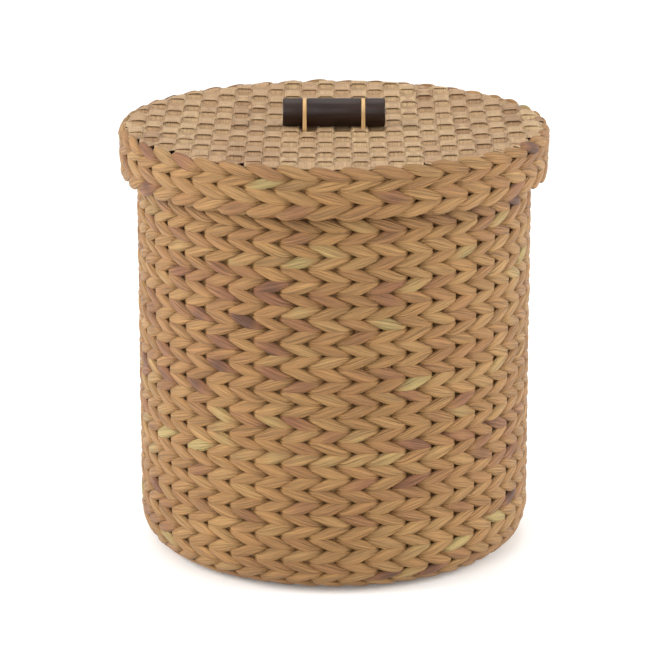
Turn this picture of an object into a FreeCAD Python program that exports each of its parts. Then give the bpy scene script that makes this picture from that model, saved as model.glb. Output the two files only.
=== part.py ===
"""Round lidded basket twined from water hyacinth, with a lift-off lid and a lashed wooden handle.

Millimetres, +Z up. The origin is the centre of the underside. The wall and the base are courses of
paired weavers round flat stakes; each course is a ring that the stakes run through.
"""
import FreeCAD, Part
import math
import os
import Sketcher
from FreeCAD import Placement, Rotation, Vector

doc = FreeCAD.newDocument("lidded_basket")

# ---------------------------------------------------------------- driving dimensions
DIMENSIONS = {
    "wall_radius": 200.0,        # outside of the woven wall
    "wall_thick": 18.0,          # two weavers with a stake between them
    "pitch": 24.8,               # height of one course
    "gap": 0.2,                  # free space between neighbouring courses
    "edge_round": 5.0,           # rounding of a course's edges
    "corner_radius": 35.4,       # outside of the turn from the wall into the base
    "rim_height": 428.0,         # top of the woven wall
    "wall_count": 15,            # full courses in the straight wall, below the rim's own
    "base_count": 6,             # flat courses in the base
    "stake_count": 44,
    "stake_width": 14.0,
    "stake_thick": 3.5,
    "bend_inset": 0.4,           # the stake's bend is this much tighter than the wall's
    "stake_top": 12.0,           # from the rim down to a stake's end
    "stake_reach": 101.0,        # radius where the wall stakes end under the base
    "outer_spoke_reach": 51.0,
    "inner_spoke_reach": 25.0,
    "hoop_radius": 2.5,          # cane of the hoops
    "hoop_drop": 6.5,            # from the rim down to a hoop's centre
    "lid_inner": 202.0,          # inside of the lid's skirt
    "lid_outer": 217.5,
    "lid_taper": 1.5,            # the lower course stands this much further in
    "lid_bottom": 386.0,
    "lid_split": 415.7,          # between the lid's two courses
    "lid_top": 438.0,
    "lid_round": 5.0,
    "lid_stake_thick": 1.6,
    "lid_stake_top": 416.0,
    "lid_hoop_height": 424.0,
    "panel_radius": 206.0,       # the strips end tucked into the upper course
    "panel_bottom": 428.3,
    "strip_thick": 1.75,
    "warp_pitch": 17.2,
    "weft_pitch": 27.0,
    "strip_gap": 0.4,
    "bar_length": 103.0,
    "bar_radius": 14.25,
    "bar_gap": 0.05,             # between the panel and the bar
    "groove_width": 5.1,
    "groove_depth": 1.2,
    "tie_offset": 29.5,          # from the bar's middle to a tie
    "tie_width": 4.5,
    "tie_thick": 1.2,
    "tie_play": 0.05,
    "tie_bottom": 428.25,        # top of the run that closes a tie under the panel
}

sheet = doc.addObject("Spreadsheet::Sheet", "Dims")
for row, (alias, value) in enumerate(DIMENSIONS.items(), start=1):
    sheet.set(f"A{row}", alias)
    sheet.set(f"B{row}", str(value))
    sheet.setAlias(f"B{row}", alias)
doc.recompute()


def cell(alias):
    """The number in the sheet's cell of that alias."""
    return float(getattr(sheet, alias))


def bind(item, **expressions):
    """Binds properties of an object to expressions; a bare alias is written $alias."""
    for name, text in expressions.items():
        item.setExpression(name, text.replace("$", "Dims."))
    return item


# ---------------------------------------------------------------- building blocks
def outline(body, name, points):
    """A closed polygon sketched on the body's XZ plane, each corner bound to a pair of expressions."""
    sketch = body.newObject("Sketcher::SketchObject", name)
    plane = next(f for f in body.Origin.OriginFeatures if f.Role == "XZ_Plane")
    sketch.AttachmentSupport = (plane, [""])
    sketch.MapMode = "FlatFace"
    places = [Vector(measure(x), measure(y), 0) for x, y in points]
    for i, start in enumerate(places):
        sketch.addGeometry(Part.LineSegment(start, places[(i + 1) % len(places)]))
    for i in range(len(points)):
        after = (i + 1) % len(points)
        sketch.addConstraint(Sketcher.Constraint("Coincident", i, 2, after, 1))
    for i, (x, y) in enumerate(points):
        for kind, text, value in (("DistanceX", x, places[i].x), ("DistanceY", y, places[i].y)):
            if abs(value) < 1e-9:
                on_axis = -2 if kind == "DistanceX" else -1
                sketch.addConstraint(Sketcher.Constraint("PointOnObject", i, 1, on_axis))
            else:
                index = sketch.addConstraint(Sketcher.Constraint(kind, -1, 1, i, 1, value))
                sketch.setExpression(f"Constraints[{index}]", text.replace("$", "Dims."))
    return sketch


def arc_sector(body, name, low_angle, high_angle):
    """The part of the corner's quarter turn between two angles, sketched on the body's XZ plane."""
    sketch = body.newObject("Sketcher::SketchObject", name)
    plane = next(f for f in body.Origin.OriginFeatures if f.Role == "XZ_Plane")
    sketch.AttachmentSupport = (plane, [""])
    sketch.MapMode = "FlatFace"
    middle = Vector(measure(BASE_RADIUS), measure(CORNER), 0)
    arcs = []
    for radius in (measure(CORNER), measure(f"{CORNER} - $wall_thick")):
        circle = Part.Circle(middle, Vector(0, 0, 1), radius)
        arcs.append(Part.ArcOfCircle(circle, math.radians(low_angle), math.radians(high_angle)))
    outer, inner = (sketch.addGeometry(arc) for arc in arcs)
    start = sketch.addGeometry(Part.LineSegment(arcs[0].StartPoint, arcs[1].StartPoint))
    end = sketch.addGeometry(Part.LineSegment(arcs[0].EndPoint, arcs[1].EndPoint))
    joined = ((start, 1, outer, 1), (start, 2, inner, 1), (end, 1, outer, 2), (end, 2, inner, 2),
              (outer, 3, inner, 3))
    for places in joined:
        sketch.addConstraint(Sketcher.Constraint("Coincident", *places))
    sizes = (("DistanceX", (-1, 1, outer, 3), BASE_RADIUS), ("DistanceY", (-1, 1, outer, 3), CORNER),
             ("Radius", (outer,), CORNER), ("Radius", (inner,), f"{CORNER} - $wall_thick"))
    for kind, places, text in sizes:
        index = sketch.addConstraint(Sketcher.Constraint(kind, *places, measure(text)))
        sketch.setExpression(f"Constraints[{index}]", text.replace("$", "Dims."))
    return sketch


def measure(text):
    """The value of an expression of sheet aliases, as the sheet holds it now."""
    values = {alias: cell(alias) for alias in DIMENSIONS}
    return FreeCAD.Units.Quantity(replace_aliases(text, values)).Value


def replace_aliases(text, values):
    """The expression with each alias's value written in its place, longest alias first."""
    for alias in sorted(values, key=len, reverse=True):
        text = text.replace("$" + alias, f"({values[alias]!r})")
    return text


def revolved(name, points, axis="V_Axis", rounding=None):
    """A body turned about the sketch's axis from a polygon, with every edge rounded if asked."""
    body = doc.addObject("PartDesign::Body", name)
    sketch = outline(body, name + "_profile", points)
    turn = body.newObject("PartDesign::Revolution", name + "_turn")
    turn.Profile = sketch
    turn.ReferenceAxis = (sketch, [axis])
    turn.Angle = 360
    doc.recompute()
    if rounding:
        edges = [f"Edge{i}" for i, e in enumerate(turn.Shape.Edges, start=1) if e.isClosed()]
        fillet = body.newObject("PartDesign::Fillet", name + "_edges")
        fillet.Base = (turn, edges)
        bind(fillet, Radius=rounding)
        doc.recompute()
    return body


def ring(name, inner, outer, bottom, top, rounding="$edge_round"):
    """A course: a rectangle between two radii and two heights, turned about Z."""
    corners = [(inner, bottom), (outer, bottom), (outer, top), (inner, top)]
    return revolved(name, corners, rounding=rounding)


def cut(label, base, *tools):
    """base less each tool in turn; the last cut gets the label."""
    for number, tool in enumerate(tools, start=1):
        result = doc.addObject("Part::Cut", f"{base.Name}_less_{number}")
        result.Base = base
        result.Tool = tool
        base = result
    doc.recompute()
    base.Label = label
    return base


def around(label, source, count):
    """count copies of a solid spaced evenly about Z, as one compound of separate solids."""
    copies = []
    for number in range(int(count)):
        copy = source.Shape.copy()
        copy.rotate(Vector(0, 0, 0), Vector(0, 0, 1), 360.0 * number / count)
        copies.append(copy)
    group = doc.addObject("Part::Feature", label)
    group.Shape = Part.makeCompound(copies)
    group.Label = label
    return group


def box(name, length, width, height, x, y, z):
    """A box whose sizes and lowest corner are expressions."""
    item = doc.addObject("Part::Box", name)
    bind(item, Length=length, Width=width, Height=height)
    item.setExpression("Placement.Base.x", x.replace("$", "Dims."))
    item.setExpression("Placement.Base.y", y.replace("$", "Dims."))
    item.setExpression("Placement.Base.z", z.replace("$", "Dims."))
    return item


parts = []


def keep(item, label):
    """Names a finished sub-part and lists it for writing."""
    item.Label = label
    parts.append(item)
    return item


# ---------------------------------------------------------------- stakes and spokes
# The courses are solid rings: the stakes, spokes and hoops are pressed in between their weavers, so
# each ring shares space with the stems it grips.
MIDDLE = "$wall_radius - $wall_thick / 2"
CORNER = "$corner_radius"
BASE_RADIUS = "($wall_radius - $corner_radius)"     # where the flat base begins
HALF_STAKE = "$stake_thick / 2"


def stake_body():
    """One flat stake: down the middle of the wall, round the corner and in under the base."""
    outside = f"{MIDDLE} + {HALF_STAKE}"
    inside = f"{MIDDLE} - {HALF_STAKE}"
    low = f"$wall_thick / 2 - {HALF_STAKE}"
    high = f"$wall_thick / 2 + {HALF_STAKE}"
    top = "$rim_height - $stake_top"
    corners = [("$stake_reach", low), (outside, low), (outside, top),
               (inside, top), (inside, high), ("$stake_reach", high)]
    body = doc.addObject("PartDesign::Body", "stake")
    sketch = outline(body, "stake_profile", corners)
    pad = body.newObject("PartDesign::Pad", "stake_pad")
    pad.Profile = sketch
    pad.Midplane = True
    bind(pad, Length="$stake_width")
    doc.recompute()
    turn = f"{CORNER} - $wall_thick / 2 - $bend_inset"
    for radius, corner_x in ((f"{turn} + {HALF_STAKE}", outside), (f"{turn} - {HALF_STAKE}", inside)):
        tip = body.Tip
        edge = bend_edge(tip.Shape, measure(corner_x))
        fillet = body.newObject("PartDesign::Fillet", "stake_bend")
        fillet.Base = (tip, [edge])
        bind(fillet, Radius=radius)
        doc.recompute()
    return body


def bend_edge(shape, radius):
    """The name of the edge that runs across the stake at that radius, low down."""
    for number, edge in enumerate(shape.Edges, start=1):
        ends = [v.Point for v in edge.Vertexes]
        level = all(abs(p.x - radius) < 1e-6 and p.z < measure(CORNER) for p in ends)
        if len(ends) == 2 and level and abs(ends[0].y - ends[1].y) > 1.0:
            return f"Edge{number}"
    raise RuntimeError("the stake has no bend edge there")


def spoke(name, start, end):
    """A flat spoke of the base, between two radii."""
    return box(name, f"{end} - ({start})", "$stake_width", "$stake_thick",
               start, "-$stake_width / 2", f"$wall_thick / 2 - {HALF_STAKE}")


stake = stake_body()
outer_spoke = spoke("outer_spoke", "$outer_spoke_reach", "$stake_reach - 0.5")
inner_spoke = spoke("inner_spoke", "$inner_spoke_reach", "$outer_spoke_reach - 0.5")
doc.recompute()
stakes = keep(around("wall_stakes", stake, cell("stake_count")), "wall_stakes")
outer_spokes = keep(around("outer_spokes", outer_spoke, cell("stake_count") / 2), "outer_spokes")
inner_spokes = keep(around("inner_spokes", inner_spoke, cell("stake_count") / 4), "inner_spokes")


# ---------------------------------------------------------------- base and corner
centre = revolved("base_centre_disc", [
    ("0", "0"), (f"{BASE_RADIUS} - $base_count * $pitch - $gap", "0"),
    (f"{BASE_RADIUS} - $base_count * $pitch - $gap", "$wall_thick"), ("0", "$wall_thick")])
keep(centre, "base_centre")
for number in range(1, int(cell("base_count")) + 1):
    inner = f"{BASE_RADIUS} - ($base_count - {number - 1}) * $pitch"
    outer = f"{BASE_RADIUS} - ($base_count - {number}) * $pitch - $gap"
    flat = ring(f"base_ring_{number}", inner, outer, "0", "$wall_thick", rounding="$gap * 10")
    keep(flat, f"base_course_{number}")

for number, (low_angle, high_angle) in enumerate(((-90, -45), (-45, 0)), start=1):
    body = doc.addObject("PartDesign::Body", f"corner_body_{number}")
    sector = arc_sector(body, f"corner_profile_{number}", low_angle, high_angle)
    turn = body.newObject("PartDesign::Revolution", f"corner_turn_{number}")
    turn.Profile = sector
    turn.ReferenceAxis = (sector, ["V_Axis"])
    turn.Angle = 360
    keep(body, f"corner_course_{number}")

# ---------------------------------------------------------------- wall
rim_hoop = doc.addObject("Part::Torus", "rim_hoop")
bind(rim_hoop, Radius1=MIDDLE, Radius2="$hoop_radius")
rim_hoop.setExpression("Placement.Base.z", "Dims.rim_height - Dims.hoop_drop")
keep(rim_hoop, "rim_hoop")

first = keep(ring("wall_ring", "$wall_radius - $wall_thick", "$wall_radius",
                  "$corner_radius", "$corner_radius + $pitch - $gap"), "wall_course_01")
for number in range(2, int(cell("wall_count")) + 1):
    course = doc.addObject("Part::Compound", f"wall_course_{number:02d}")
    course.Links = [first]
    course.setExpression("Placement.Base.z", f"{number - 1} * Dims.pitch")
    keep(course, f"wall_course_{number:02d}")

rim = ring("rim_ring", "$wall_radius - $wall_thick", "$wall_radius",
           "$corner_radius + $wall_count * $pitch", "$rim_height")
keep(rim, "rim_course")

# ---------------------------------------------------------------- lid skirt
LID_MIDDLE = "($lid_inner + $lid_outer) / 2"
lid_stake = box("lid_stake", "$lid_stake_thick", "$stake_width", "$lid_stake_top - $lid_bottom - 2",
                f"{LID_MIDDLE} - $lid_stake_thick / 2", "-$stake_width / 2", "$lid_bottom + 2")
doc.recompute()
lid_stakes = keep(around("lid_stakes", lid_stake, cell("stake_count")), "lid_stakes")

lid_hoop = doc.addObject("Part::Torus", "lid_hoop")
bind(lid_hoop, Radius1=LID_MIDDLE, Radius2="$hoop_radius")
lid_hoop.setExpression("Placement.Base.z", "Dims.lid_hoop_height")
keep(lid_hoop, "lid_hoop")

lower = ring("lid_lower_ring", "$lid_inner", "$lid_outer - $lid_taper", "$lid_bottom", "$lid_split - $gap",
             rounding="$lid_round")
keep(lower, "lid_lower_course")
upper = ring("lid_upper_ring", "$lid_inner", "$lid_outer", "$lid_split", "$lid_top", rounding="$lid_round")
seat = doc.addObject("Part::Cylinder", "panel_seat")
bind(seat, Radius="$panel_radius", Height="2 * $strip_thick")
seat.setExpression("Placement.Base.z", "Dims.panel_bottom")
keep(cut("lid_upper_course", upper, seat), "lid_upper_course")

# ---------------------------------------------------------------- handle
BAR_HEIGHT = "$panel_bottom + 2 * $strip_thick + $bar_gap + $bar_radius"
GROOVE = "$bar_radius - $groove_depth"
side = ("$tie_offset - $groove_width / 2", "$tie_offset + $groove_width / 2")
bar_points = [("-$bar_length / 2", "0"), ("$bar_length / 2", "0"), ("$bar_length / 2", "$bar_radius"),
              (side[1], "$bar_radius"), (side[1], GROOVE), (side[0], GROOVE), (side[0], "$bar_radius"),
              (f"-({side[0]})", "$bar_radius"), (f"-({side[0]})", GROOVE),
              (f"-({side[1]})", GROOVE), (f"-({side[1]})", "$bar_radius"),
              ("-$bar_length / 2", "$bar_radius")]
bar = revolved("handle_bar_body", bar_points, axis="H_Axis")
bar.setExpression("Placement.Base.z", BAR_HEIGHT.replace("$", "Dims."))
keep(bar, "handle_bar")


def loop_filling(name, radius, bottom, centre_x):
    """The solid inside a tie's loop out to a radius: a cylinder over the bar and a block below it."""
    round_top = doc.addObject("Part::Cylinder", name + "_round")
    bind(round_top, Radius=radius, Height="$tie_width")
    round_top.Placement = Placement(Vector(0, 0, 0), Rotation(Vector(0, 1, 0), 90))
    round_top.setExpression("Placement.Base.x", f"{centre_x} - $tie_width / 2".replace("$", "Dims."))
    round_top.setExpression("Placement.Base.z", BAR_HEIGHT.replace("$", "Dims."))
    block = box(name + "_block", "$tie_width", f"2 * ({radius})", f"{BAR_HEIGHT} - ({bottom})",
                f"{centre_x} - $tie_width / 2", f"-({radius})", bottom)
    filling = doc.addObject("Part::Fuse", name)
    filling.Base = round_top
    filling.Tool = block
    return filling


LOOP_INNER = f"{GROOVE} + $tie_play"
LOOP_OUTER = f"{LOOP_INNER} + $tie_thick"
slots = []
for label, centre_x in (("handle_tie_left", "-$tie_offset"), ("handle_tie_right", "$tie_offset")):
    outside = loop_filling(label + "_outside", LOOP_OUTER, "$tie_bottom - $tie_thick", centre_x)
    inside = loop_filling(label + "_inside", LOOP_INNER, "$tie_bottom", centre_x)
    keep(cut(label, outside, inside), label)
    for sign in ("", "-"):
        middle = f"{sign}({LOOP_INNER} + $tie_thick / 2)"
        slots.append(box(f"{label}_slot", "$tie_width + 2 * $gap", "$tie_thick + 2 * $gap",
                         "2 * $strip_thick + 4", f"{centre_x} - $tie_width / 2 - $gap",
                         f"{middle} - $tie_thick / 2 - $gap", "$panel_bottom - 2"))

# ---------------------------------------------------------------- plaited panel
slot_group = doc.addObject("Part::Compound", "tie_slots")
slot_group.Links = slots
strip_length = "2 * $panel_radius + 2"
for label, pitch, layer in (("lid_warp_strips", "$warp_pitch", 0), ("lid_weft_strips", "$weft_pitch", 1)):
    count = int(2 * cell("panel_radius") / measure(pitch)) + 1
    strips = []
    for number in range(count):
        near = f"({number} - {count / 2}) * {pitch} + $strip_gap / 2"
        size = [f"{pitch} - $strip_gap", strip_length]
        corner = [near, "-$panel_radius - 1"]
        if layer:
            size.reverse()
            corner.reverse()
        strips.append(box(f"{label}_strip", *size, "$strip_thick", *corner,
                          f"$panel_bottom + {layer} * $strip_thick"))
    group = doc.addObject("Part::Compound", label + "_square")
    group.Links = strips
    disc = doc.addObject("Part::Cylinder", label + "_disc")
    bind(disc, Radius="$panel_radius", Height="10 mm")
    disc.setExpression("Placement.Base.z", "Dims.panel_bottom - 1")
    trimmed = doc.addObject("Part::Common", label + "_round")
    trimmed.Base = group
    trimmed.Tool = disc
    keep(cut(label, trimmed, slot_group), label)

# ---------------------------------------------------------------- checks and files
doc.recompute()
for item in doc.Objects:
    if "Invalid" in item.State or "Error" in item.State:
        raise RuntimeError(f"{item.Label} failed: {item.State}")
os.makedirs("parts", exist_ok=True)
for item in parts:
    shape = item.Shape
    if shape.isNull() or not shape.isValid() or not shape.Solids:
        raise RuntimeError(f"{item.Label} has no valid solid")
    shape.exportStep(os.path.join("parts", item.Label + ".step"))
    print(f"{item.Label}: {len(shape.Solids)} solids, {shape.Volume / 1000:.1f} cm3")
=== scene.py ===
"""The looks of a lidded basket twined from water hyacinth, grown round its CAD frame."""
import math

import bpy
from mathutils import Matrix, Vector


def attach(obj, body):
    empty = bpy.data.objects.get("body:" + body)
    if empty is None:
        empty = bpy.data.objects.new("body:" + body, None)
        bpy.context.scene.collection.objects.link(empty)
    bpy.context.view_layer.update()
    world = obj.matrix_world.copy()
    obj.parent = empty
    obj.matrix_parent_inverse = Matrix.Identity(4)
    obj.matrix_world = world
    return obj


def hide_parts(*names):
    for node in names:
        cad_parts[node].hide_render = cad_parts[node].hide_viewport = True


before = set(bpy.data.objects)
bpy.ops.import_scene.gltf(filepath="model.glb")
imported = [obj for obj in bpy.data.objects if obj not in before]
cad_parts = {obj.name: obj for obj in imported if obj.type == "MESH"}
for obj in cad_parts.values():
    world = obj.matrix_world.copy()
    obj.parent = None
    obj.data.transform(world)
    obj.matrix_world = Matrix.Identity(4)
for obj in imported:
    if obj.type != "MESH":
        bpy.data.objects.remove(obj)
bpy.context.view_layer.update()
MM = 0.001


# ---------------------------------------------------------------- wall of the basket
# Fifteen full courses of water hyacinth, two twined rows to a course, leaning opposite ways so that
# each course reads as a line of chevrons pointing right. The weavers are soft flattened stems that
# swell over a stake and pinch between two; most are tan, some greener, pinker or darker.
def linear(code):
    """The linear colour of an sRGB hex code."""
    parts = [int(code[i:i + 2], 16) / 255 for i in (1, 3, 5)]
    return [p / 12.92 if p < 0.04045 else ((p + 0.055) / 1.055) ** 2.4 for p in parts] + [1.0]


def add(tree, kind, settings=None, inputs=None):
    """Adds a node with its settings, and each input linked or set to a plain value."""
    node = tree.nodes.new(kind)
    for name, value in (settings or {}).items():
        setattr(node, name, value)
    for key, value in (inputs or {}).items():
        if isinstance(value, bpy.types.NodeSocket):
            tree.links.new(value, node.inputs[key])
        else:
            node.inputs[key].default_value = value
    return node


def work_out(tree, known, steps):
    """Adds one maths node per step (name, operation, values) and files its result under the name."""
    for name, operation, *values in steps:
        inputs = {i: known[v] if isinstance(v, str) else v for i, v in enumerate(values)}
        known[name] = add(tree, "ShaderNodeMath", {"operation": operation}, inputs).outputs[0]
    return known


def new_tree(name, sockets):
    """A geometry tree with the named inputs and one geometry output."""
    tree = bpy.data.node_groups.new(name, "GeometryNodeTree")
    for label, kind in sockets:
        tree.interface.new_socket(label, in_out="INPUT", socket_type="NodeSocket" + kind)
    tree.interface.new_socket("Geometry", in_out="OUTPUT", socket_type="NodeSocketGeometry")
    return tree, add(tree, "NodeGroupInput").outputs, add(tree, "NodeGroupOutput")


def mark(tree, geometry, stitch, section):
    """Keeps on each point the number of its stitch and where it is on its stem's section."""
    for name, kind, value in (("stitch", "FLOAT", stitch), ("section", "FLOAT_VECTOR", section)):
        geometry = add(tree, "GeometryNodeStoreNamedAttribute", {
            "data_type": kind, "domain": "POINT"}, {
            "Geometry": geometry, "Name": name, "Value": value}).outputs[0]
    return geometry


def grow(name, tree, values):
    """Runs a geometry tree with these values and keeps what it makes as a plain mesh."""
    piece = bpy.data.objects.new(name, bpy.data.meshes.new(name))
    bpy.context.scene.collection.objects.link(piece)
    modifier = piece.modifiers.new("grow", "NODES")
    modifier.node_group = tree
    for item in tree.interface.items_tree:
        if item.in_out == "INPUT" and item.name in values:
            modifier[item.identifier] = values[item.name]
    graph = bpy.context.evaluated_depsgraph_get()
    graph.update()
    mesh = bpy.data.meshes.new_from_object(piece.evaluated_get(graph))
    piece.modifiers.clear()
    piece.data = mesh
    mesh.name = name
    for polygon in mesh.polygons:
        polygon.use_smooth = True
    return piece


def put(piece, body, slot, *nodes):
    """Rides a finished piece on its body in the place of the CAD nodes."""
    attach(piece, body)
    for node in nodes:
        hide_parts(node)
    return piece


def surface(name, colours, streak_scale, streak_depth, roughness, tone_scale, spread, contrast):
    """Dried stem: a colour per length of weaver, streaked and wrinkled along it.

    The section attribute holds where a point is round its weaver and which weaver it is on, and the
    stitch attribute a number for each pass over a stake. spread is how far stitches differ in
    colour, and contrast how strongly the streaks are darkened in the grooves between the fibres and
    lightened on the ridges, with the same noise as the bumps: partly the stem's own streaks, partly
    painted shade in the grooves and painted light on the ridges.
    """
    material = bpy.data.materials.new(name)
    material.use_nodes = True
    tree = material.node_tree
    tree.nodes.clear()
    place = add(tree, "ShaderNodeTexCoord").outputs["Object"]
    section = add(tree, "ShaderNodeAttribute", {"attribute_name": "section"})
    stitch = add(tree, "ShaderNodeAttribute", {"attribute_name": "stitch"})
    at = add(tree, "ShaderNodeSeparateXYZ", inputs={0: place}).outputs
    round_it = add(tree, "ShaderNodeSeparateXYZ", inputs={0: section.outputs["Vector"]}).outputs
    known = {"x": at[0], "y": at[1], "across": round_it[0], "through": round_it[1],
             "weaver": round_it[2], "stitch": stitch.outputs["Fac"]}
    along, across = streak_scale
    work_out(tree, known, [
        ("streak_x", "MULTIPLY", "x", along),
        ("streak_y", "MULTIPLY", "y", along),
        ("streak_z", "MULTIPLY", "across", across),
        ("deep", "MULTIPLY", "through", across),
        ("streak_w", "MULTIPLY_ADD", "weaver", 7.3, "deep"),
        ("tone_w", "MULTIPLY", "weaver", 3.7)])
    streak_at = add(tree, "ShaderNodeCombineXYZ", inputs={
        0: known["streak_x"], 1: known["streak_y"], 2: known["streak_z"]}).outputs[0]
    streaks = add(tree, "ShaderNodeTexNoise", {"noise_dimensions": "4D"}, {
        "Vector": streak_at, "W": known["streak_w"], "Scale": 1.0, "Detail": 4.0,
        "Roughness": 0.6}).outputs[0]
    tones = add(tree, "ShaderNodeTexNoise", {"noise_dimensions": "4D"}, {
        "Vector": place, "W": known["tone_w"], "Scale": tone_scale, "Detail": 1.0}).outputs[0]
    known["streaks"] = streaks
    known["tones"] = tones
    # The streaks also scale the colour, with the bump's own noise: painted shade in the grooves and
    # painted light on the ridges, on top of the stem's own streaking.
    work_out(tree, known, [
        ("wide", "MULTIPLY_ADD", "tones", 1.9, -0.45 - spread / 2),
        ("pick", "MULTIPLY_ADD", "stitch", spread, "wide"),
        ("streak_light_and_shade", "MULTIPLY_ADD", "streaks", contrast, 1.02 - contrast / 2)])
    ramp = add(tree, "ShaderNodeValToRGB", inputs={0: known["pick"]})
    stops = ramp.color_ramp.elements
    while len(stops) < len(colours):
        stops.new(0.5)
    for stop, (position, code) in zip(stops, colours):
        stop.position = position
        stop.color = linear(code)
    shade = add(tree, "ShaderNodeMix", {"data_type": "RGBA", "blend_type": "MULTIPLY"}, {
        0: 1.0, 6: ramp.outputs[0], 7: known["streak_light_and_shade"]}).outputs[2]
    bump = add(tree, "ShaderNodeBump", inputs={
        "Strength": 1.0, "Distance": streak_depth, "Height": streaks}).outputs[0]
    shader = add(tree, "ShaderNodeBsdfPrincipled", inputs={
        "Base Color": shade, "Roughness": roughness, "Specular IOR Level": 0.35, "Normal": bump})
    add(tree, "ShaderNodeOutputMaterial", inputs={"Surface": shader.outputs[0]})
    return material


# Water hyacinth: tan with a soft sheen, in places green-yellow, pinkish or grey-brown.
hyacinth = surface(
    "water_hyacinth", [(0.0, "#5A3C2B"), (0.08, "#7E5438"), (0.28, "#8F673E"), (0.55, "#966F42"),
                       (0.85, "#9B7749"), (1.0, "#9D8755")],
    (22.0, 4.6), 3.0 * MM, 0.52, 5.0, 0.5, 2.6)

TURN = math.radians(-87.2)          # direction of the first stake, from the middle of the basket

# A weaver's pass over one stake. Its place in the pass is the cosine of its turn: 1 where it bulges
# out in front of the stake, -1 where it is hidden behind the next.
STAYS_OUT = 0.72                    # it turns inwards only this far past the side
DIVE = 2.6                          # how sharply it turns inwards
DEEPER_BEHIND = 2.4 * MM            # it lies this much further in than out
PINCH = 0.5                         # how far past the side it is narrowest
PINCHED = 0.45                      # its width there, as a share of its width in front
THINNED = 0.8                       # its thickness there, as a share of that in front
BELLY = 0.8                         # below 1 the leaf is fuller towards its ends
LONG_TIP = 0.28                     # how long the tips hold their height before they turn in

# How much one stitch differs from the next.
SWELL = 0.11                        # in width
LOOSE = 0.1                         # in how far it bulges
STEEPER = 0.2                       # in slope
SLIP = 0.5 * MM                     # in height
ROUND_STEPS = 13                    # points round a weaver, the last on the first
STITCH_STEPS = 12.0                 # points along one stitch


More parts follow.
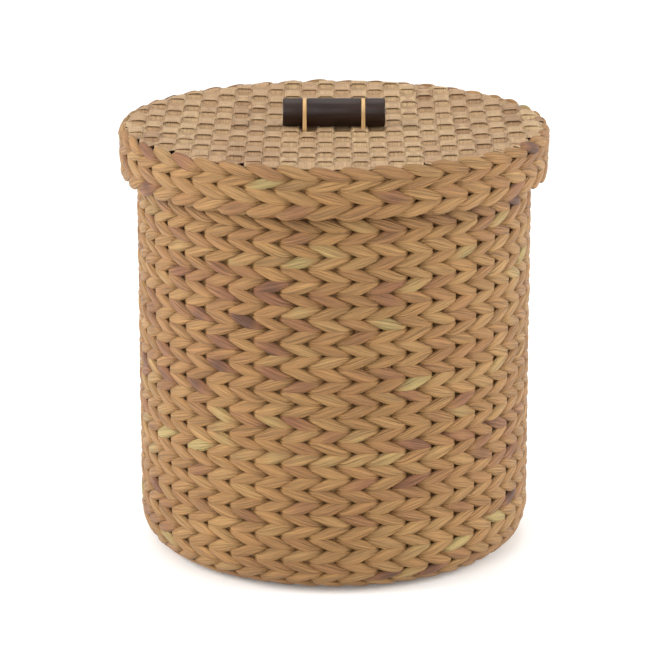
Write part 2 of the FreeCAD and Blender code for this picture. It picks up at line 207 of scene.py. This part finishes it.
def strand_tree():
    """One weaver of a twined row, wound round the row's line half a turn to a stake."""
    tree, given, out = new_tree("weaver", [
        ("Radius", "Float"), ("Height", "Float"), ("Face Angle", "Float"), ("Stitches", "Int"),
        ("Lean", "Float"), ("Phase", "Float"), ("Turn", "Float"), ("Width", "Float"),
        ("Thickness", "Float"), ("Swing", "Float"), ("Rise", "Float"), ("Seed", "Int")])
    known = {"count": given["Stitches"], "lean": given["Lean"], "r0": given["Radius"],
             "z0": given["Height"], "face": given["Face Angle"], "phase": given["Phase"],
             "turn": given["Turn"], "width": given["Width"], "thick": given["Thickness"],
             "swing": given["Swing"], "rise": given["Rise"], "seed": given["Seed"]}
    work_out(tree, known, [("steps", "MULTIPLY_ADD", "count", STITCH_STEPS, 1.0)])
    grid = add(tree, "GeometryNodeMeshGrid", inputs={
        "Size X": 1.0, "Size Y": 1.0, "Vertices X": known["steps"], "Vertices Y": ROUND_STEPS})
    place = add(tree, "GeometryNodeInputPosition").outputs[0]
    at = add(tree, "ShaderNodeSeparateXYZ", inputs={0: place}).outputs
    known["u"] = at[0]
    known["v"] = at[1]
    # Where the point is: angle round the basket, turn round the weaver, turn of the weaver itself.
    work_out(tree, known, [
        ("along", "ADD", "u", 0.5),
        ("angle", "MULTIPLY", "along", 2 * math.pi),
        ("round", "MULTIPLY", "v", 2 * math.pi),
        ("half", "MULTIPLY", "count", 0.5),
        ("turns", "MULTIPLY", "angle", "half"),
        ("phi", "ADD", "turns", "phase"),
        ("c", "COSINE", "phi"),
        ("s", "SINE", "phi"),
        ("passes", "DIVIDE", "phi", 2 * math.pi),
        ("passes_half", "ADD", "passes", 0.5001),
        ("pass_floor", "FLOOR", "passes_half"),
        ("stitch", "FLOORED_MODULO", "pass_floor", "half"),
        ("id_seed", "MULTIPLY", "seed", 97.0),
        ("id_phase", "MULTIPLY", "phase", 20.0),
        ("id_weaver", "ADD", "id_seed", "id_phase"),
        ("id", "ADD", "id_weaver", "stitch")])
    for name, seed in (("swell", 1), ("shift", 2), ("tone", 3)):
        known[name] = add(tree, "FunctionNodeRandomValue", {"data_type": "FLOAT"}, {
            2: -1.0, 3: 1.0, "ID": known["id"], "Seed": seed}).outputs[1]
    # h is the weaver's width and g its thickness here; m and n are along and across the wall's face.
    work_out(tree, known, [
        ("c_plus", "ADD", "c", 1.0),
        ("shown", "MULTIPLY", "c_plus", 0.5),
        ("c_shift", "ADD", "c", PINCH),
        ("c_size", "ABSOLUTE", "c_shift"),
        ("front", "DIVIDE", "c_size", 1.0 + PINCH),
        ("full", "POWER", "front", BELLY),
        ("swell_now", "MULTIPLY", "swell", "shown"),
        ("swollen", "MULTIPLY_ADD", "swell_now", SWELL, 1.0),
        ("h_front", "MULTIPLY", "width", "swollen"),
        ("h_cross", "MULTIPLY", "width", PINCHED),
        ("h_gain", "SUBTRACT", "h_front", "h_cross"),
        ("h_now", "MULTIPLY_ADD", "h_gain", "full", "h_cross"),
        ("h_half", "MULTIPLY", "h_now", 0.5),
        ("g_gain", "MULTIPLY_ADD", "full", 1.0 - THINNED, THINNED),
        ("g_now", "MULTIPLY", "thick", "g_gain"),
        ("g_half", "MULTIPLY", "g_now", 0.5),
        ("shift_now", "MULTIPLY", "shift", "shown"),
        ("a_loose", "MULTIPLY_ADD", "shift_now", LOOSE, 1.0),
        ("a_now", "MULTIPLY", "swing", "a_loose"),
        ("c_late", "ADD", "c", STAYS_OUT),
        ("c_steep", "MULTIPLY", "c_late", DIVE),
        ("c_square", "TANH", "c_steep"),
        ("behind", "MINIMUM", "c_square", 0.0),
        ("n_front", "MULTIPLY", "a_now", "c_square"),
        ("n0", "MULTIPLY_ADD", "behind", DEEPER_BEHIND, "n_front"),
        ("s_c", "MULTIPLY", "s", "c"),
        ("s_long", "MULTIPLY_ADD", "s_c", -LONG_TIP, "s"),
        ("lean_s", "MULTIPLY", "lean", "s_long"),
        ("steeper", "MULTIPLY_ADD", "shift_now", STEEPER, 1.0),
        ("rise_now", "MULTIPLY", "rise", "steeper"),
        ("drop", "MULTIPLY", "rise_now", "lean_s"),
        ("slip", "MULTIPLY", "tone", SLIP),
        ("slip_now", "MULTIPLY", "slip", "shown"),
        ("m0", "SUBTRACT", "slip_now", "drop"),
        ("cw", "COSINE", "round"),
        ("st", "SINE", "round"),
        ("m", "MULTIPLY_ADD", "h_half", "cw", "m0"),
        ("n", "MULTIPLY_ADD", "g_half", "st", "n0"),
        ("cf", "COSINE", "face"),
        ("sf", "SINE", "face"),
        ("minus_sf", "MULTIPLY", "sf", -1.0),
        ("r1", "MULTIPLY_ADD", "n", "cf", "r0"),
        ("r", "MULTIPLY_ADD", "m", "minus_sf", "r1"),
        ("z1", "MULTIPLY_ADD", "n", "sf", "z0"),
        ("z", "MULTIPLY_ADD", "m", "cf", "z1"),
        ("world", "ADD", "angle", "turn"),
        ("cx", "COSINE", "world"),
        ("sx", "SINE", "world"),
        ("x", "MULTIPLY", "r", "cx"),
        ("y", "MULTIPLY", "r", "sx"),
        ("tone_now", "MULTIPLY", "tone", "shown"),
        ("tone_out", "MULTIPLY_ADD", "tone_now", 0.5, 0.5)])
    moved = add(tree, "ShaderNodeCombineXYZ", inputs={0: known["x"], 1: known["y"], 2: known["z"]})
    section = add(tree, "ShaderNodeCombineXYZ", inputs={0: known["cw"], 1: known["st"],
                                                       2: known["id_weaver"]})
    marked = mark(tree, grid.outputs["Mesh"], known["tone_out"], section.outputs[0])
    shaped = add(tree, "GeometryNodeSetPosition", inputs={
        "Geometry": marked, "Position": moved.outputs[0]})
    closed = add(tree, "GeometryNodeMergeByDistance", inputs={
        "Geometry": shaped.outputs[0], "Distance": 0.02 * MM})
    tree.links.new(closed.outputs[0], out.inputs[0])
    return tree


def course_tree():
    """A course: an upper row leaning one way and a lower row leaning the other, two weavers each."""
    tree, given, out = new_tree("twined_course", [
        ("Upper Radius", "Float"), ("Upper Height", "Float"), ("Upper Angle", "Float"),
        ("Lower Radius", "Float"), ("Lower Height", "Float"), ("Lower Angle", "Float"),
        ("Stitches", "Int"), ("Turn", "Float"), ("Width", "Float"), ("Thickness", "Float"),
        ("Swing", "Float"), ("Rise", "Float"), ("Seed", "Int"), ("Material", "Material")])
    weaver = strand_tree()
    joined = add(tree, "GeometryNodeJoinGeometry")
    for row, lean in (("Upper", 1.0), ("Lower", -1.0)):
        seed = add(tree, "ShaderNodeMath", {"operation": "MULTIPLY_ADD"}, {
            0: given["Seed"], 1: 2.0, 2: 0.5 - lean / 2}).outputs[0]
        for phase in (math.pi / 2, 3 * math.pi / 2):
            strand = add(tree, "GeometryNodeGroup", {"node_tree": weaver}, {
                "Radius": given[row + " Radius"], "Height": given[row + " Height"],
                "Face Angle": given[row + " Angle"], "Stitches": given["Stitches"], "Lean": lean,
                "Phase": phase, "Turn": given["Turn"], "Width": given["Width"],
                "Thickness": given["Thickness"], "Swing": given["Swing"], "Rise": given["Rise"],
                "Seed": seed})
            tree.links.new(strand.outputs[0], joined.inputs[0])
    real = add(tree, "GeometryNodeRealizeInstances", inputs={0: joined.outputs[0]})
    coated = add(tree, "GeometryNodeSetMaterial", inputs={
        "Geometry": real.outputs[0], "Material": given["Material"]})
    tree.links.new(coated.outputs[0], out.inputs[0])
    return tree


twined_course = course_tree()


def weave(name, body, rows, seed, stitches=44, width=13.8, thickness=7.2, swing=4.2, rise=4.0,
          turn=TURN, node=None):
    """A course between two rows, each (radius, height, angle) in mm and degrees."""
    upper, lower = rows
    piece = grow(name, twined_course, {
        "Upper Radius": upper[0] * MM, "Upper Height": upper[1] * MM,
        "Upper Angle": math.radians(upper[2]), "Lower Radius": lower[0] * MM,
        "Lower Height": lower[1] * MM, "Lower Angle": math.radians(lower[2]),
        "Stitches": stitches, "Turn": turn, "Width": width * MM, "Thickness": thickness * MM,
        "Swing": swing * MM, "Rise": rise * MM, "Seed": seed, "Material": hyacinth})
    return put(piece, body, "woven_hyacinth", node or name)


WALL_MIDDLE = 192.2                 # radius of the line the weavers wind round
COURSE = 24.8                       # height of a course
CORNER = 35.4                       # height where the straight wall begins
UPPER_ROW = 18.5                    # heights of the two rows above the foot of their course
LOWER_ROW = 6.1
for number in range(1, 16):
    bottom = CORNER + (number - 1) * COURSE
    rows = ((WALL_MIDDLE, bottom + UPPER_ROW, 0.0), (WALL_MIDDLE, bottom + LOWER_ROW, 0.0))
    weave(f"woven_wall_{number:02d}", "basket", rows, number, node=f"wall_course_{number:02d}")

# ---------------------------------------------------------------- rim of the basket
# The last course is beaten down a little tighter than the rest.
weave("woven_rim", "basket", ((WALL_MIDDLE, 422.6, 0.0), (WALL_MIDDLE, 412.4, 0.0)), 31,
      width=11.6, rise=3.2, node="rim_course")

# ---------------------------------------------------------------- corner and base
# Two courses carry the wall round into the base, and six more close it towards the middle, with
# fewer stitches where the spokes are fewer.
BASE_RADIUS = 164.6                 # where the flat base begins
CORNER_MIDDLE = 26.4                # radius of the turn, at the middle of the weavers
BASE_MIDDLE = 9.0                   # height of the middle of the base's weavers
HALF_ROW = 6.2
for number, angles in ((2, (-11.5, -34.0)), (1, (-56.5, -79.0))):
    rows = []
    for angle in angles:
        lean = math.radians(angle)
        rows.append((BASE_RADIUS + CORNER_MIDDLE * math.cos(lean),
                     CORNER + CORNER_MIDDLE * math.sin(lean), angle))
    weave(f"woven_corner_{number}", "basket", rows, 40 + number, width=13.8, rise=3.8,
          node=f"corner_course_{number}")
for number, stitches in ((6, 44), (5, 44), (4, 44), (3, 22), (2, 22), (1, 12)):
    middle = BASE_RADIUS - (6.5 - number) * COURSE
    rows = ((middle + HALF_ROW, BASE_MIDDLE, -90.0), (middle - HALF_ROW, BASE_MIDDLE, -90.0))
    weave(f"woven_base_{number}", "basket", rows, 50 + number, stitches=stitches,
          node=f"base_course_{number}")
middle_rows = ((9.5, BASE_MIDDLE, -90.0), (3.0, BASE_MIDDLE, -90.0))
weave("woven_base_middle", "basket", middle_rows, 60, stitches=8, width=9.0,
      thickness=5.5, swing=5.0, rise=2.0, node="base_centre")

# ---------------------------------------------------------------- skirt of the lid
# Two courses of the same twining with longer, plumper stitches. The upper one turns in under the
# edge of the plaited panel and the lower one is taller and drawn in slightly.
LID_MIDDLE = 209.6
weave("woven_lid_upper", "lid", ((LID_MIDDLE + 0.2, 428.9, 25.0), (LID_MIDDLE + 0.4, 419.8, 0.0)), 70,
      width=12.6, swing=4.0, thickness=6.4, rise=3.3, node="lid_upper_course")
weave("woven_lid_lower", "lid", ((LID_MIDDLE, 407.8, 0.0), (LID_MIDDLE - 0.9, 394.4, 0.0)), 71,
      width=15.2, swing=4.0, thickness=6.6, rise=4.2, node="lid_lower_course")


# ---------------------------------------------------------------- plaited panel of the lid
# Flat strips of the same stem pressed thin, interlaced one over and one under; narrower strips run
# front to back. Their ends bend down and tuck in behind the skirt's top course.
PANEL_RADIUS = 213.0 * MM           # where the strips end
FOLD_FROM = 206.5 * MM              # where they begin to bend down
FOLD = -50.0                        # how fast they bend down, per metre
DISH = 0.16                         # how fast the panel rises towards its edge, per metre
FLATTENED = 16.0 * MM               # width of the edge where the plait is pressed flatter
PRESSED = 0.3                       # its waves there, as a share of the middle's
FLAT_TOPS = 2.2                     # above 1 a strip lies flat over and under, and turns in between
CROWN = 0.2 * MM                    # the edges of a strip stand this much higher than its middle


def strip_tree():
    """A layer of parallel strips that rise and dip over the strips that cross them."""
    tree, given, out = new_tree("plaited_strips", [
        ("Count", "Int"), ("Pitch", "Float"), ("Cross Pitch", "Float"), ("Cross Count", "Int"),
        ("Sign", "Float"), ("Width", "Float"), ("Thickness", "Float"), ("Wave", "Float"),
        ("Radius", "Float"), ("Height", "Float"), ("Seed", "Int"), ("Material", "Material")])
    known = {"count": given["Count"], "pitch": given["Pitch"], "cross": given["Cross Pitch"],
             "cross_count": given["Cross Count"], "sign": given["Sign"], "width": given["Width"],
             "thick": given["Thickness"], "wave": given["Wave"], "radius": given["Radius"],
             "height": given["Height"], "seed": given["Seed"]}
    grid = add(tree, "GeometryNodeMeshGrid", inputs={
        "Size X": 2.0, "Size Y": 1.0, "Vertices X": 181, "Vertices Y": ROUND_STEPS})
    line = add(tree, "GeometryNodeMeshLine", inputs={"Count": given["Count"],
                                                    "Offset": (0.0, 0.0, 1.0)})
    strips = add(tree, "GeometryNodeInstanceOnPoints", inputs={
        "Points": line.outputs[0], "Instance": grid.outputs[0]})
    loose = add(tree, "GeometryNodeRealizeInstances", inputs={0: strips.outputs[0]})
    place = add(tree, "GeometryNodeInputPosition").outputs[0]
    at = add(tree, "ShaderNodeSeparateXYZ", inputs={0: place}).outputs
    known["u"] = at[0]
    known["v"] = at[1]
    known["lane"] = at[2]
    work_out(tree, known, [
        ("lane_whole", "ROUND", "lane"),
        ("id_seed", "MULTIPLY", "seed", 83.0),
        ("id", "ADD", "id_seed", "lane_whole")])
    for name, seed in (("slip", 11), ("swell", 12), ("tone", 13)):
        known[name] = add(tree, "FunctionNodeRandomValue", {"data_type": "FLOAT"}, {
            2: -1.0, 3: 1.0, "ID": known["id"], "Seed": seed}).outputs[1]
    work_out(tree, known, [
        ("count_off", "SUBTRACT", "count", 1.0),
        ("middle", "MULTIPLY", "count_off", 0.5),
        ("lane_off", "SUBTRACT", "lane_whole", "middle"),
        ("slipped", "MULTIPLY_ADD", "slip", 0.03, "lane_off"),
        ("side", "MULTIPLY", "slipped", "pitch"),
        ("side_2", "MULTIPLY", "side", "side"),
        ("radius_2", "MULTIPLY", "radius", "radius"),
        ("chord_2", "SUBTRACT", "radius_2", "side_2"),
        ("chord", "SQRT", "chord_2"),
        ("run", "MULTIPLY", "chord", "u"),
        ("run_lanes", "DIVIDE", "run", "cross"),
        ("cross_off", "SUBTRACT", "cross_count", 1.0),
        ("cross_half", "MULTIPLY", "cross_off", 0.5),
        ("run_at", "ADD", "run_lanes", "cross_half"),
        ("parity", "ADD", "run_at", "lane_whole"),
        ("parity_turn", "MULTIPLY", "parity", math.pi),
        ("wave_cos", "COSINE", "parity_turn"),
        ("wave_steep", "MULTIPLY", "wave_cos", FLAT_TOPS),
        ("wave_low", "MAXIMUM", "wave_steep", -1.0),
        ("wave_flat", "MINIMUM", "wave_low", 1.0),
        ("wave_signed", "MULTIPLY", "wave_flat", "sign"),
        ("round", "MULTIPLY", "v", 2 * math.pi),
        ("cw", "COSINE", "round"),
        ("st", "SINE", "round"),
        ("cw_sign", "SIGN", "cw"),
        ("cw_size", "ABSOLUTE", "cw"),
        ("cw_wide", "POWER", "cw_size", 0.6),
        ("cw_now", "MULTIPLY", "cw_wide", "cw_sign"),
        ("swollen", "MULTIPLY_ADD", "swell", 0.03, 1.0),
        ("w_half", "MULTIPLY", "width", 0.5),
        ("w_now", "MULTIPLY", "w_half", "swollen"),
        ("across", "MULTIPLY", "cw_now", "w_now"),
        ("t_half", "MULTIPLY", "thick", 0.5),
        ("through", "MULTIPLY", "st", "t_half"),
        ("edge", "MULTIPLY", "cw_now", "cw_now"),
        ("crown", "MULTIPLY", "edge", CROWN),
        ("side_now", "ADD", "side", "across"),
        ("side_now_2", "MULTIPLY", "side_now", "side_now"),
        ("run_2", "MULTIPLY", "run", "run"),
        ("reach_2", "ADD", "side_now_2", "run_2"),
        ("reach", "SQRT", "reach_2"),
        ("from_axis", "MINIMUM", "reach", "radius"),
        ("trim", "DIVIDE", "from_axis", "reach"),
        ("px", "MULTIPLY", "side_now", "trim"),
        ("py", "MULTIPLY", "run", "trim"),
        ("over", "SUBTRACT", "from_axis", FOLD_FROM),
        ("over_edge", "MAXIMUM", "over", 0.0),
        ("over_2", "MULTIPLY", "over_edge", "over_edge"),
        ("fold_rim", "MULTIPLY", "over_2", FOLD),
        ("dish", "MULTIPLY", "from_axis", "from_axis"),
        ("fold", "MULTIPLY_ADD", "dish", DISH, "fold_rim"),
        ("rim_near", "SUBTRACT", "radius", "from_axis"),
        ("rim_share", "DIVIDE", "rim_near", FLATTENED),
        ("rim_low", "MAXIMUM", "rim_share", PRESSED),
        ("rim_keep", "MINIMUM", "rim_low", 1.0),
        ("wave_now", "MULTIPLY", "wave", "rim_keep"),
        ("lift", "MULTIPLY", "wave_signed", "wave_now"),
        ("z1", "ADD", "height", "lift"),
        ("z2", "ADD", "z1", "through"),
        ("z3", "ADD", "z2", "crown"),
        ("z", "ADD", "z3", "fold"),
        ("tone_out", "MULTIPLY_ADD", "tone", 0.5, 0.5)])
    turned = add(tree, "ShaderNodeCombineXYZ", inputs={0: known["px"], 1: known["py"], 2: known["z"]})
    section = add(tree, "ShaderNodeCombineXYZ", inputs={0: known["cw_now"], 1: known["st"],
                                                       2: known["id"]})
    marked = mark(tree, loose.outputs[0], known["tone_out"], section.outputs[0])
    shaped = add(tree, "GeometryNodeSetPosition", inputs={
        "Geometry": marked, "Position": turned.outputs[0]})
    closed = add(tree, "GeometryNodeMergeByDistance", inputs={
        "Geometry": shaped.outputs[0], "Distance": 0.01 * MM})
    coated = add(tree, "GeometryNodeSetMaterial", inputs={
        "Geometry": closed.outputs[0], "Material": given["Material"]})
    tree.links.new(coated.outputs[0], out.inputs[0])
    return tree


# Pressed strips: paler and greyer than the wall, faintly ribbed along their length.
pressed_strip = surface(
    "pressed_hyacinth_strip", [(0.0, "#8C6C4C"), (0.3, "#9E7E5C"), (0.6, "#A68864"), (1.0, "#AE926C")],
    (14.0, 12.0), 1.2 * MM, 0.6, 7.0, 0.5, 1.9)
plaited_strips = strip_tree()
WARP = (24, 17.2)                   # number of strips and the distance from one to the next
WEFT = (16, 27.0)
layers = (("plaited_warp", "lid_warp_strips", WARP, WEFT, 1.0, 17.0, 5),
          ("plaited_weft", "lid_weft_strips", WEFT, WARP, -1.0, 26.0, 6))
for name, node, (count, pitch), (cross_count, cross), sign, width, seed in layers:
    panel = grow(name, plaited_strips, {
        "Count": count, "Pitch": pitch * MM, "Cross Pitch": cross * MM, "Cross Count": cross_count,
        "Sign": sign, "Width": width * MM, "Thickness": 1.1 * MM, "Wave": 2.2 * MM,
        "Radius": PANEL_RADIUS, "Height": 429.5 * MM, "Seed": seed, "Material": pressed_strip})
    if name == "plaited_weft":      # made running front to back, then given a quarter turn
        for vertex in panel.data.vertices:
            x, y, z = vertex.co
            vertex.co = (-y, x, z)
    put(panel, "lid", "panel_strip", node)


# ---------------------------------------------------------------- handle bar
# A short turned bar of dark stained hardwood, near black with a brown cast and a faint grain along
# it, flat-ended, with a shallow notch for each tie.
def turned_bar(name, profile, sides=64):
    """A mesh turned about the X axis from (x, radius) pairs, closed at both ends."""
    vertices = []
    for x, radius in profile[1:-1]:
        for i in range(sides):
            angle = 2 * math.pi * i / sides
            vertices.append((x * MM, radius * math.cos(angle) * MM, radius * math.sin(angle) * MM))
    first = len(vertices)
    vertices += [(profile[0][0] * MM, 0, 0), (profile[-1][0] * MM, 0, 0)]
    rings = len(profile) - 2
    faces = []
    for ring in range(rings - 1):
        for i in range(sides):
            j = (i + 1) % sides
            a, b = ring * sides, (ring + 1) * sides
            faces.append((a + i, a + j, b + j, b + i))
    for i in range(sides):
        j = (i + 1) % sides
        faces.append((first, j, i))
        faces.append((first + 1, (rings - 1) * sides + i, (rings - 1) * sides + j))
    mesh = bpy.data.meshes.new(name)
    mesh.from_pydata(vertices, [], [tuple(reversed(f)) for f in faces])
    piece = bpy.data.objects.new(name, mesh)
    bpy.context.scene.collection.objects.link(piece)
    for polygon in mesh.polygons:
        polygon.use_smooth = len(polygon.vertices) == 4
    return piece


dark_wood = bpy.data.materials.new("dark_stained_wood")
dark_wood.use_nodes = True
tree = dark_wood.node_tree
tree.nodes.clear()
place = add(tree, "ShaderNodeTexCoord").outputs["Object"]
stretched = add(tree, "ShaderNodeMapping", inputs={0: place, 3: (25.0, 420.0, 420.0)}).outputs[0]
grain = add(tree, "ShaderNodeTexNoise", inputs={
    "Vector": stretched, "Scale": 1.0, "Detail": 5.0, "Roughness": 0.55}).outputs[0]
ramp = add(tree, "ShaderNodeValToRGB", inputs={0: grain})
for stop, (position, code) in zip(ramp.color_ramp.elements, ((0.3, "#150B07"), (0.75, "#301B12"))):
    stop.position = position
    stop.color = linear(code)
bump = add(tree, "ShaderNodeBump", inputs={"Strength": 0.5, "Distance": 0.3 * MM, "Height": grain})
shader = add(tree, "ShaderNodeBsdfPrincipled", inputs={
    "Base Color": ramp.outputs[0], "Roughness": 0.45, "Specular IOR Level": 0.3,
    "Normal": bump.outputs[0]})
add(tree, "ShaderNodeOutputMaterial", inputs={"Surface": shader.outputs[0]})

BAR_HEIGHT = 446.1
BAR_RADIUS = 14.25
NOTCH_RADIUS = 13.05
HALF_BAR = 51.5
half_profile = [(0.0, 14.2), (10.0, BAR_RADIUS), (26.6, BAR_RADIUS), (27.1, 14.0), (27.5, 13.3),
                (28.0, NOTCH_RADIUS), (31.0, NOTCH_RADIUS), (31.5, 13.3), (31.9, 14.0),
                (32.4, BAR_RADIUS), (49.6, BAR_RADIUS), (50.6, 14.0), (51.2, 13.5),
                (HALF_BAR, 12.8), (HALF_BAR, 0.0)]
profile = [(-x, r) for x, r in reversed(half_profile[1:])] + half_profile
bar = turned_bar("wooden_bar", profile)
for vertex in bar.data.vertices:
    vertex.co.z += BAR_HEIGHT * MM
bar.data.materials.append(dark_wood)
put(bar, "lid", "dark_wood", "handle_bar")

# ---------------------------------------------------------------- ties of the handle
# Two lengths of pale split cane, each wound once over its notch and down through the panel.
cane = surface("split_cane", [(0.0, "#B08C5C"), (1.0, "#CDAA78")],
               (30.0, 5.0), 0.15 * MM, 0.45, 30.0, 0.3, 1.6)
tie_tree, given, out = new_tree("cane_tie", [("Path", "Object"), ("Width", "Float"),
                                            ("Thickness", "Float"), ("Material", "Material")])
path = add(tie_tree, "GeometryNodeObjectInfo", inputs={0: given["Path"]}).outputs["Geometry"]
ribbon = add(tie_tree, "GeometryNodeCurvePrimitiveQuadrilateral", inputs={
    0: given["Width"], 1: given["Thickness"]}).outputs[0]
softened = add(tie_tree, "GeometryNodeFilletCurve", inputs={0: ribbon})
softened.inputs["Radius"].default_value = 0.35 * MM
swept = add(tie_tree, "GeometryNodeCurveToMesh", inputs={0: path, 1: softened.outputs[0]})
real = add(tie_tree, "GeometryNodeRealizeInstances", inputs={0: swept.outputs[0]})
coated = add(tie_tree, "GeometryNodeSetMaterial", inputs={
    "Geometry": real.outputs[0], "Material": given["Material"]})
tie_tree.links.new(coated.outputs[0], out.inputs[0])

TIE_RADIUS = 13.65
TIE_PLACE = 29.5
for name, node, x in (("cane_tie_left", "handle_tie_left", -TIE_PLACE),
                      ("cane_tie_right", "handle_tie_right", TIE_PLACE)):
    points = []
    for i in range(33):
        angle = math.pi * i / 32
        points.append((TIE_RADIUS * math.cos(angle), BAR_HEIGHT + TIE_RADIUS * math.sin(angle)))
    points += [(-TIE_RADIUS, 440.0), (-TIE_RADIUS, 434.0), (-TIE_RADIUS, 429.0), (-13.0, 427.7),
               (-6.0, 427.4), (6.0, 427.4), (13.0, 427.7), (TIE_RADIUS, 429.0),
               (TIE_RADIUS, 434.0), (TIE_RADIUS, 440.0)]
    curve = bpy.data.curves.new(name + "_path", "CURVE")
    curve.dimensions = "3D"
    spline = curve.splines.new("POLY")
    spline.points.add(len(points) - 1)
    spline.use_cyclic_u = True
    for point, (y, z) in zip(spline.points, points):
        point.co = (x * MM, y * MM, z * MM, 1.0)
    guide = bpy.data.objects.new(name + "_path", curve)
    bpy.context.scene.collection.objects.link(guide)
    tie = grow(name, tie_tree, {"Path": guide, "Width": 3.8 * MM, "Thickness": 1.1 * MM,
                                "Material": cane})
    bpy.data.objects.remove(guide)
    put(tie, "lid", "cane", node)

# ---------------------------------------------------------------- stakes, spokes and hoops
# Flat stems that the weavers turn round, seen only as slivers between the stitches, and the round
# cane hoops hidden in the two rims.
stake_stem = surface("stake_stem", [(0.0, "#8C6A45"), (1.0, "#B08A5C")],
                     (60.0, 4.0), 0.4 * MM, 0.7, 9.0, 0.2, 2.0)
for node in ("wall_stakes", "outer_spokes", "inner_spokes", "lid_stakes", "rim_hoop", "lid_hoop"):
    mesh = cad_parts[node].data
    mesh.materials.clear()
    mesh.materials.append(stake_stem)

# ---------------------------------------------------------------- floor, light and camera
# A pale seamless floor under soft even studio light, seen from a little above.
floor_mesh = bpy.data.meshes.new("floor")
floor_mesh.from_pydata([(-6, -6, 0), (6, -6, 0), (6, 6, 0), (-6, 6, 0)], [], [(0, 1, 2, 3)])
floor = bpy.data.objects.new("floor", floor_mesh)
bpy.context.scene.collection.objects.link(floor)
paper = bpy.data.materials.new("white_paper")
paper.use_nodes = True
finish = paper.node_tree.nodes["Principled BSDF"].inputs
finish["Base Color"].default_value = linear("#F4F4F2")
finish["Roughness"].default_value = 0.9
finish["Emission Color"].default_value = linear("#FFFFFF")
finish["Emission Strength"].default_value = 0.12
floor_mesh.materials.append(paper)

world = bpy.data.worlds.new("studio")
bpy.context.scene.world = world
world.use_nodes = True
sky = world.node_tree
sky.nodes["Background"].inputs[0].default_value = (1.0, 1.0, 1.0, 1.0)
seen = add(sky, "ShaderNodeLightPath").outputs["Is Camera Ray"]
strength = add(sky, "ShaderNodeMath", {"operation": "MULTIPLY_ADD"}, {0: seen, 1: 0.2, 2: 0.8})
sky.links.new(strength.outputs[0], sky.nodes["Background"].inputs[1])

for name, place, size, power in (("left_light", (-2.6, -0.6, 1.5), 1.6, 70.0),
                                 ("right_light", (2.6, -0.4, 1.3), 1.6, 58.0),
                                 ("front_light", (-0.8, -3.0, 2.2), 1.8, 30.0),
                                 ("top_light", (0.0, 0.8, 3.0), 1.8, 24.0)):
    lamp = bpy.data.lights.new(name, "AREA")
    lamp.size = size
    lamp.energy = power
    light = bpy.data.objects.new(name, lamp)
    light.location = place
    light.rotation_euler = (Vector((0, 0, 0.22)) - Vector(place)).to_track_quat("-Z", "Y").to_euler()
    bpy.context.scene.collection.objects.link(light)

view = bpy.data.cameras.new("camera")
view.lens = 173.8776
view.shift_x = 0.0015
camera = bpy.data.objects.new("camera", view)
camera.location = (0.0, -3.2, 1.1154)
CAMERA_DIP = 0.2749                 # how far below the level it looks, in radians
camera.rotation_euler = (math.pi / 2 - CAMERA_DIP, 0.0, 0.0)
bpy.context.scene.collection.objects.link(camera)
bpy.context.scene.camera = camera
bpy.context.scene.view_settings.view_transform = "Standard"
